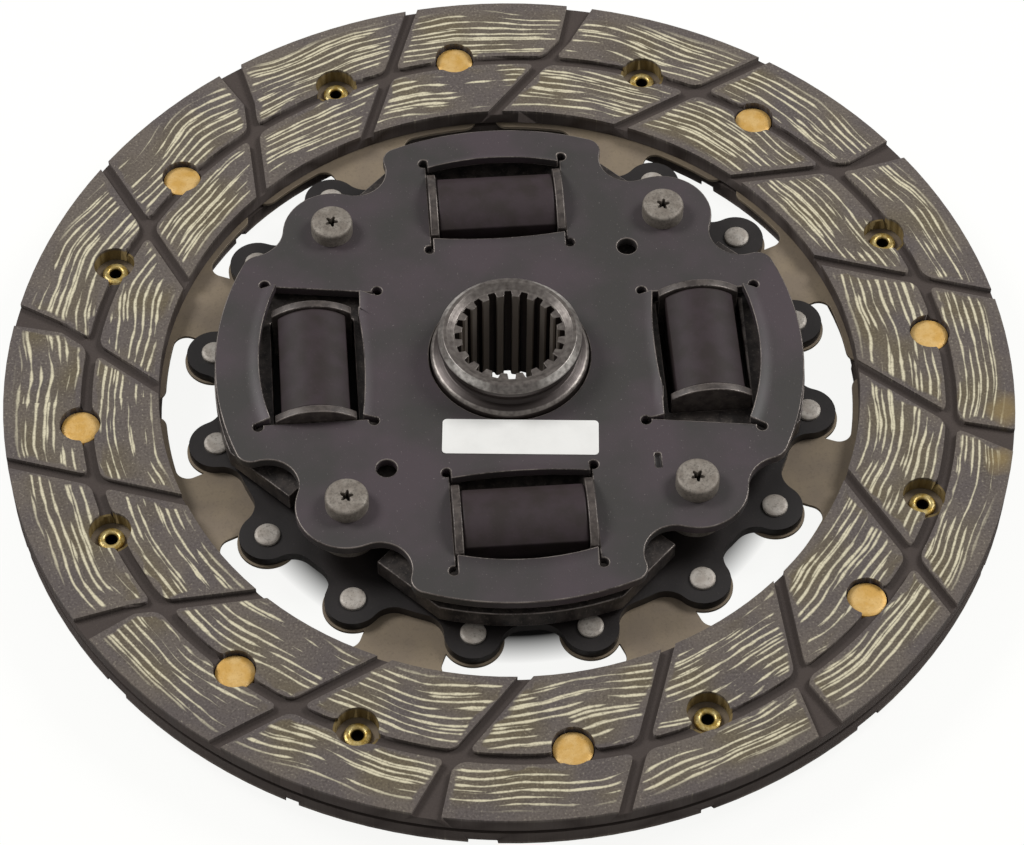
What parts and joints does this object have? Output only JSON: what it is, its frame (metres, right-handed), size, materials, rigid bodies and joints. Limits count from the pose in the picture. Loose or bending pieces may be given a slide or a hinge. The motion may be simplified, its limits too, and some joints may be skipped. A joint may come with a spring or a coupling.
{
  "type": "clutch disc",
  "caption": "Clutch driven plate with grooved friction facings on spring segments, black damper plates with windowed torsion blocks, stop pins and a splined hub.",
  "frame": {"origin": "centre of the rear end of the hub, on the surface that the disc stands on", "axes": "+Z along the shaft towards the front side, which carries the label; +X and +Y through the middles of the long and the short windows"},
  "size_m": [0.19, 0.19, 0.0259],
  "materials": {
    "friction_material": "woven friction lining, grey-brown with cream yarn",
    "rivet_brass": "matt brass",
    "spring_steel": "olive tempered spring steel",
    "blackened_steel": "blackened pressed steel, satin",
    "rivet_steel": "matt grey steel",
    "damper_rubber": "smooth dark rubber",
    "hub_steel": "machined dark steel",
    "ring_plastic": "moulded friction ring",
    "label_paper": "blank white paper"
  },
  "bodies": {
    "disc": {"front_facing": "friction_material", "rear_facing": "friction_material", "front_facing_rivets": "rivet_brass", "rear_facing_rivets": "rivet_brass", "carrier_plate": "blackened_steel", "cover_plate": "blackened_steel", "segment_rivets": "rivet_steel", "friction_ring_rear": "ring_plastic", "friction_ring_front": "ring_plastic", "disc_spring": "spring_steel", "label": "label_paper", "cushion_segment_1": "spring_steel", "cushion_segment_2": "spring_steel", "cushion_segment_3": "spring_steel", "cushion_segment_4": "spring_steel", "cushion_segment_5": "spring_steel", "cushion_segment_6": "spring_steel", "cushion_segment_7": "spring_steel", "cushion_segment_8": "spring_steel", "stop_pin_1": "rivet_steel", "stop_pin_2": "rivet_steel", "stop_pin_3": "rivet_steel", "stop_pin_4": "rivet_steel", "damper_block_2": "damper_rubber", "damper_block_4": "damper_rubber", "damper_seat_3": "blackened_steel", "damper_seat_4": "blackened_steel", "damper_seat_7": "blackened_steel", "damper_seat_8": "blackened_steel"},
    "hub_body": {"hub": "hub_steel", "hub_flange": "blackened_steel", "damper_block_1": "damper_rubber", "damper_block_3": "damper_rubber", "damper_seat_1": "blackened_steel", "damper_seat_2": "blackened_steel", "damper_seat_5": "blackened_steel", "damper_seat_6": "blackened_steel"}
  },
  "joints": [
    {"name": "damper_twist", "type": "hinge", "parent": "disc", "child": "hub_body", "pos_m": [0, 0, 0.01358], "axis": [0, 0, 1], "range_deg": [-6, 6], "stiffness_Nm_per_rad": 60, "deforming": ["damper_block_1", "damper_seat_1", "damper_seat_2", "damper_block_2", "damper_seat_3", "damper_seat_4", "damper_block_3", "damper_seat_5", "damper_seat_6", "damper_block_4", "damper_seat_7", "damper_seat_8"]}
  ]
}
